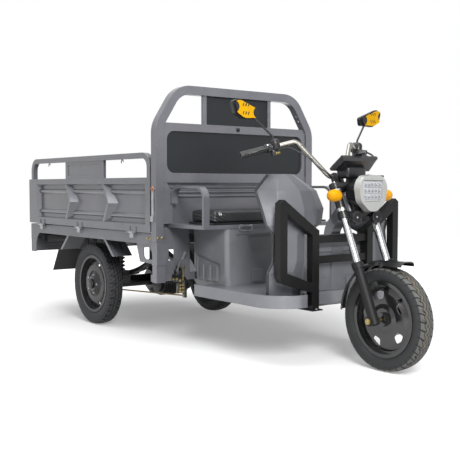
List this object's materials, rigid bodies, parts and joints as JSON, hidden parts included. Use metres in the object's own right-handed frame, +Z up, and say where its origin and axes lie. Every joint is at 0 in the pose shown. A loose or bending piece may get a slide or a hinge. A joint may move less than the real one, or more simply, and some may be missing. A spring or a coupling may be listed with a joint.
{
  "type": "electric cargo tricycle",
  "caption": "Three-wheeled electric cargo trike with a drop-side flatbed, headboard, driver's seat and handlebar steering.",
  "frame": {"origin": "on the ground under the middle of the overall box", "axes": "+X forward to the front wheel, +Y to the rider's left, +Z up"},
  "size_m": [2.934, 1.112, 1.354],
  "materials": {
    "grey_paint": "satin",
    "black_paint": "satin",
    "black_plastic": "matte",
    "grey_plastic": "gloss",
    "seat_leather": "matte",
    "rubber": "matte",
    "tyre": "matte",
    "chrome": "gloss",
    "aluminium": "satin",
    "zinc": "satin",
    "galvanised": "satin",
    "red_lens": "gloss",
    "amber_lens": "gloss",
    "clear_lens": "gloss",
    "spring_steel": "satin",
    "red_button": "gloss"
  },
  "bodies": {
    "chassis": {"chassis_frame": "grey_paint", "bed_floor": "grey_paint", "bed_sills": "grey_paint", "hinge_barrels": "galvanised", "headboard_frame": "grey_paint", "headboard_panels": "black_plastic", "front_sheet": "grey_paint", "seat_shelf": "grey_paint", "seat_box": "grey_plastic", "battery_pack": "black_plastic", "floor_pan": "grey_paint", "leg_shield": "grey_plastic", "lower_front_panel": "grey_paint", "bumper": "black_paint", "rear_mudguards": "grey_paint", "mud_flaps": "rubber", "tail_lamps": "red_lens", "leaf_springs": "spring_steel", "spring_hangers": "black_paint", "damper_uppers": "black_paint", "coil_springs": "spring_steel", "brake_bracket": "black_paint"},
    "rear_axle": {"axle_housing": "black_paint", "drive_motor": "black_paint", "damper_lowers": "spring_steel"},
    "rear_wheel_right": {"right_rear_tyre": "tyre", "right_rear_rim": "black_paint"},
    "rear_wheel_left": {"left_rear_tyre": "tyre", "left_rear_rim": "black_paint"},
    "steering": {"steering_yokes": "black_paint", "fork_tubes": "chrome", "handlebar": "chrome", "left_grip": "rubber", "switch_pods": "black_plastic", "headlight_housing": "black_plastic", "headlight_lens": "clear_lens", "horns": "black_plastic", "turn_signals": "amber_lens", "dash_console": "black_plastic", "control_cables": "rubber"},
    "fork_lower": {"fork_sliders": "black_paint", "front_axle": "zinc", "front_mudguard": "black_plastic"},
    "front_wheel": {"front_tyre": "tyre", "front_rim": "black_paint"},
    "side_right": {"right_side_panel": "grey_paint"},
    "side_left": {"left_side_panel": "grey_paint"},
    "gate": {"tailgate": "grey_paint"},
    "latch_right": {"right_latch": "galvanised"},
    "latch_left": {"left_latch": "galvanised"},
    "seat": {"seat_base": "black_plastic", "seat_cushion": "seat_leather"},
    "park_brake": {"parking_lever": "galvanised"},
    "foot_brake": {"brake_pedal": "rubber"},
    "throttle": {"throttle_grip": "rubber"},
    "lever_right": {"right_brake_lever": "aluminium"},
    "lever_left": {"left_brake_lever": "aluminium"},
    "mirror_r": {"right_mirror": "black_plastic"},
    "mirror_l": {"left_mirror": "black_plastic"},
    "horn_push": {"horn_button": "red_button"}
  },
  "joints": [
    {"name": "rear_suspension", "type": "slide", "parent": "chassis", "child": "rear_axle", "axis": [0, 0, 1], "range_m": [-0.015, 0.04], "stiffness_N_per_m": 60000, "springref_m": -0.026, "deforming": ["leaf_springs", "coil_springs"]},
    {"name": "rear_wheel_right_spin", "type": "hinge", "parent": "rear_axle", "child": "rear_wheel_right", "pos_m": [-0.697, -0.43, 0.243], "axis": [0, 1, 0], "continuous": true},
    {"name": "rear_wheel_left_spin", "type": "hinge", "parent": "rear_axle", "child": "rear_wheel_left", "pos_m": [-0.697, 0.43, 0.243], "axis": [0, 1, 0], "continuous": true},
    {"name": "steering_head", "type": "hinge", "parent": "chassis", "child": "steering", "pos_m": [0.9518, 0, 0.81004], "axis": [-0.3875, 0, 0.9219], "range_deg": [-35, 35]},
    {"name": "fork_travel", "type": "slide", "parent": "steering", "child": "fork_lower", "axis": [-0.3875, 0, 0.9219], "range_m": [-0.012, 0.05], "stiffness_N_per_m": 14000, "springref_m": -0.04},
    {"name": "front_wheel_spin", "type": "hinge", "parent": "fork_lower", "child": "front_wheel", "pos_m": [1.233, 0, 0.234], "axis": [0, 1, 0], "continuous": true},
    {"name": "right_side_drop", "type": "hinge", "parent": "chassis", "child": "side_right", "pos_m": [-0.661, -0.545, 0.583], "axis": [1, 0, 0], "range_deg": [0, 180]},
    {"name": "left_side_drop", "type": "hinge", "parent": "chassis", "child": "side_left", "pos_m": [-0.661, 0.545, 0.583], "axis": [-1, 0, 0], "range_deg": [0, 180]},
    {"name": "tailgate_drop", "type": "hinge", "parent": "chassis", "child": "gate", "pos_m": [-1.456, 0, 0.583], "axis": [0, -1, 0], "range_deg": [0, 180]},
    {"name": "right_latch_swing", "type": "hinge", "parent": "chassis", "child": "latch_right", "pos_m": [0.125, -0.54, 0.814], "axis": [0, -1, 0], "range_deg": [0, 80]},
    {"name": "left_latch_swing", "type": "hinge", "parent": "chassis", "child": "latch_left", "pos_m": [0.125, 0.54, 0.814], "axis": [0, -1, 0], "range_deg": [0, 80]},
    {"name": "seat_lid", "type": "hinge", "parent": "chassis", "child": "seat", "pos_m": [0.21, 0, 0.641], "axis": [0, -1, 0], "range_deg": [0, 70]},
    {"name": "parking_brake_pull", "type": "hinge", "parent": "chassis", "child": "park_brake", "pos_m": [0.176, -0.431, 0.382], "axis": [0, -1, 0], "range_deg": [0, 30]},
    {"name": "foot_brake_press", "type": "hinge", "parent": "chassis", "child": "foot_brake", "pos_m": [0.793, -0.13, 0.292], "axis": [0, 1, 0], "range_deg": [0, 15], "stiffness_Nm_per_rad": 8},
    {"name": "throttle_twist", "type": "hinge", "parent": "steering", "child": "throttle", "pos_m": [0.72643, -0.3625, 0.98733], "axis": [-0.4183, -0.8733, -0.2495], "range_deg": [0, 70], "stiffness_Nm_per_rad": 0.4},
    {"name": "right_brake_squeeze", "type": "hinge", "parent": "steering", "child": "lever_right", "pos_m": [0.78787, -0.31757, 1.00461], "axis": [0.1078, 0.225, -0.9684], "range_deg": [0, 12], "stiffness_Nm_per_rad": 1.5},
    {"name": "left_brake_squeeze", "type": "hinge", "parent": "steering", "child": "lever_left", "pos_m": [0.78787, 0.31757, 1.00461], "axis": [-0.1078, 0.225, 0.9684], "range_deg": [0, 12], "stiffness_Nm_per_rad": 1.5},
    {"name": "right_mirror_turn", "type": "hinge", "parent": "steering", "child": "mirror_r", "pos_m": [0.76544, -0.28106, 1.0286], "axis": [0, 0, 1], "range_deg": [-40, 40]},
    {"name": "left_mirror_turn", "type": "hinge", "parent": "steering", "child": "mirror_l", "pos_m": [0.76544, 0.28106, 1.0286], "axis": [0, 0, 1], "range_deg": [-40, 40]},
    {"name": "horn_press", "type": "slide", "parent": "steering", "child": "horn_push", "axis": [0.9019, 0.432, 0], "range_m": [0, 0.003], "stiffness_N_per_m": 400}
  ]
}
